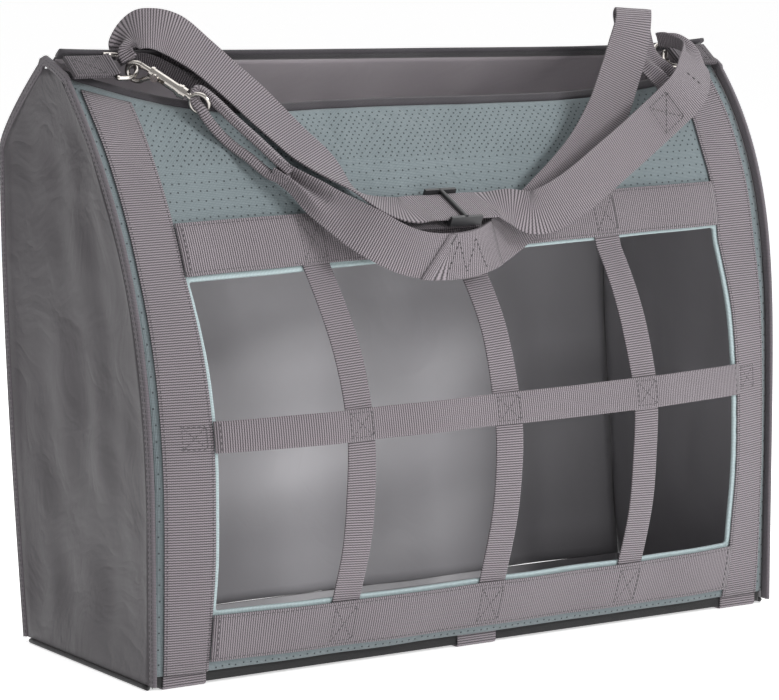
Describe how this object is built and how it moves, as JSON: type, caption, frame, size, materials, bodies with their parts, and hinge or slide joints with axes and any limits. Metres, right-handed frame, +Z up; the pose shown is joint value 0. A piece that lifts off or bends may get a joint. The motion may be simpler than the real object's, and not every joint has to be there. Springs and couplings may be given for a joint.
{
  "type": "hay bag",
  "caption": "Soft top-load hay bag with a webbing feeding grid in its front, corner rings, an adjustable carry strap and a hanging strap with swivel bolt snaps.",
  "frame": {"origin": "middle of the underside, on the surface the bag stands on", "axes": "+X along the width to the viewer's right when facing the feeding front, the front faces -Y, +Z up"},
  "size_m": [0.6136, 0.2881, 0.5247],
  "materials": {
    "panel_teal": "pale blue-grey woven polyester with rows of small dark dots",
    "satin_grey": "coated grey nylon with a satin sheen",
    "base_black": "heavy black coated fabric",
    "piping_black": "black corded piping",
    "binding_pale": "pale blue binding tape",
    "hem_grey": "dark folded hem tape",
    "binding_grey": "grey grosgrain binding tape, double stitched",
    "webbing": "mauve-grey ribbed polypropylene webbing",
    "slider_black": "moulded black acetal",
    "spring_steel": "bright spring wire",
    "nickel": "nickel-plated die casting, slightly warm"
  },
  "bodies": {
    "bag": {"front_panel": "panel_teal", "back_panel": "satin_grey", "left_gusset": "satin_grey", "right_gusset": "satin_grey", "base_tray": "base_black", "window_binding": "binding_pale", "left_front_webbing": "webbing", "right_front_webbing": "webbing", "upper_band": "webbing", "middle_band": "webbing", "lower_band": "webbing", "left_divider": "webbing", "centre_divider": "webbing", "right_divider": "webbing", "left_base_strap": "webbing", "centre_base_strap": "webbing", "right_base_strap": "webbing", "front_top_hem": "hem_grey", "back_top_hem": "hem_grey", "left_front_binding": "binding_grey", "left_back_binding": "binding_grey", "right_front_binding": "binding_grey", "right_back_binding": "binding_grey", "left_bottom_piping": "piping_black", "right_bottom_piping": "piping_black", "left_ring_tab": "webbing", "right_ring_tab": "webbing", "carry_strap": "webbing", "carry_strap_tail": "webbing", "hanging_strap": "webbing", "left_snap_eye": "nickel", "right_snap_eye": "nickel"},
    "left_ring": {"left_ring": "nickel"},
    "right_ring": {"right_ring": "nickel"},
    "left_snap": {"left_snap_body": "nickel", "left_bolt_spring": "spring_steel"},
    "right_snap": {"right_snap_body": "nickel", "right_bolt_spring": "spring_steel"},
    "left_bolt": {"left_snap_bolt": "nickel"},
    "right_bolt": {"right_snap_bolt": "nickel"},
    "slider": {"slider": "slider_black"}
  },
  "joints": [
    {"name": "left_ring_swing", "type": "hinge", "parent": "bag", "child": "left_ring", "pos_m": [-0.264, 0.024, 0.476], "axis": [0, 0.8, 0.6], "range_deg": [-8, 8]},
    {"name": "left_snap_swivel", "type": "hinge", "parent": "bag", "child": "left_snap", "pos_m": [-0.20202, -0.02033, 0.44247], "axis": [-0.6572, 0.5178, 0.5477], "range_deg": [-15, 15]},
    {"name": "left_thumb_bolt", "type": "slide", "parent": "left_snap", "child": "left_bolt", "axis": [0.6572, -0.5178, -0.5477], "range_m": [0, 0.0065], "stiffness_N_per_m": 250, "springref_m": -0.003},
    {"name": "right_ring_swing", "type": "hinge", "parent": "bag", "child": "right_ring", "pos_m": [0.264, -0.024, 0.476], "axis": [0, 0.8, 0.6], "range_deg": [-8, 8]},
    {"name": "right_snap_swivel", "type": "hinge", "parent": "bag", "child": "right_snap", "pos_m": [0.21057, -0.07234, 0.43713], "axis": [0.519, 0.5789, 0.6288], "range_deg": [-15, 15]},
    {"name": "right_thumb_bolt", "type": "slide", "parent": "right_snap", "child": "right_bolt", "axis": [-0.519, -0.5789, -0.6288], "range_m": [0, 0.0065], "stiffness_N_per_m": 250, "springref_m": -0.003},
    {"name": "slider_slide", "type": "slide", "parent": "bag", "child": "slider", "axis": [1, 0, 0], "range_m": [-0.012, 0.012]}
  ]
}
